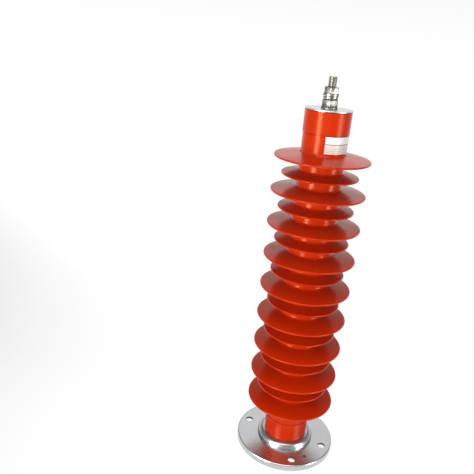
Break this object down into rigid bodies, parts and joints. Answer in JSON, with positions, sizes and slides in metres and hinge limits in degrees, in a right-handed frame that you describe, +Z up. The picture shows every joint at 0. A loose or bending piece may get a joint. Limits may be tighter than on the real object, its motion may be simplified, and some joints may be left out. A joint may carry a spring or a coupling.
{
  "type": "surge arrester",
  "caption": "Polymer-housed distribution surge arrester: silicone column with alternating large and small sheds, round bolted base flange and threaded top terminal.",
  "frame": {"origin": "centre of the underside of the base flange, where it rests on its bracket", "axes": "+Z up along the column to the terminal stud; X and Y run along the long and short sides of the bolt rectangle"},
  "size_m": [0.1856, 0.1856, 0.6945],
  "materials": {
    "silicone": "satin moulded silicone rubber, red-orange",
    "glass_fibre": "wound glass fibre in resin",
    "zinc_oxide": "sintered, dark grey, ground faces",
    "electrode_aluminium": "turned",
    "seal_rubber": "smooth",
    "flange_alloy": "satin turned and cast alloy",
    "zinc_steel": "zinc plated",
    "stainless_sheet": "bright sheet",
    "stud_steel": "stainless, threaded",
    "nut_steel": "nickel bright",
    "spring_steel": "spring steel",
    "label_film": "white satin film, no print"
  },
  "bodies": {
    "root": {"housing": "silicone", "glass_fibre_tube": "glass_fibre", "bottom_electrode": "electrode_aluminium", "top_electrode": "electrode_aluminium", "base_seal": "seal_rubber", "top_seal": "seal_rubber", "lower_plate": "electrode_aluminium", "upper_plate": "electrode_aluminium", "base_flange": "flange_alloy", "base_screw": "zinc_steel", "base_lock_washer": "zinc_steel", "base_washer": "zinc_steel", "cover_plate": "stainless_sheet", "terminal_stud": "stud_steel", "clamp_washer": "nut_steel", "clamp_nut": "nut_steel", "spring_washer": "nut_steel", "flat_washer": "nut_steel", "terminal_nut": "nut_steel", "rating_label": "label_film", "varistor_1": "zinc_oxide", "varistor_2": "zinc_oxide", "varistor_3": "zinc_oxide", "varistor_4": "zinc_oxide", "varistor_5": "zinc_oxide", "varistor_6": "zinc_oxide", "varistor_7": "zinc_oxide", "varistor_8": "zinc_oxide", "varistor_9": "zinc_oxide", "varistor_10": "zinc_oxide", "varistor_11": "zinc_oxide", "varistor_12": "zinc_oxide", "spacer_1": "electrode_aluminium", "disc_spring_1": "spring_steel", "spacer_2": "electrode_aluminium", "disc_spring_2": "spring_steel", "spacer_3": "electrode_aluminium", "disc_spring_3": "spring_steel", "spacer_4": "electrode_aluminium", "disc_spring_4": "spring_steel"}
  },
  "joints": []
}
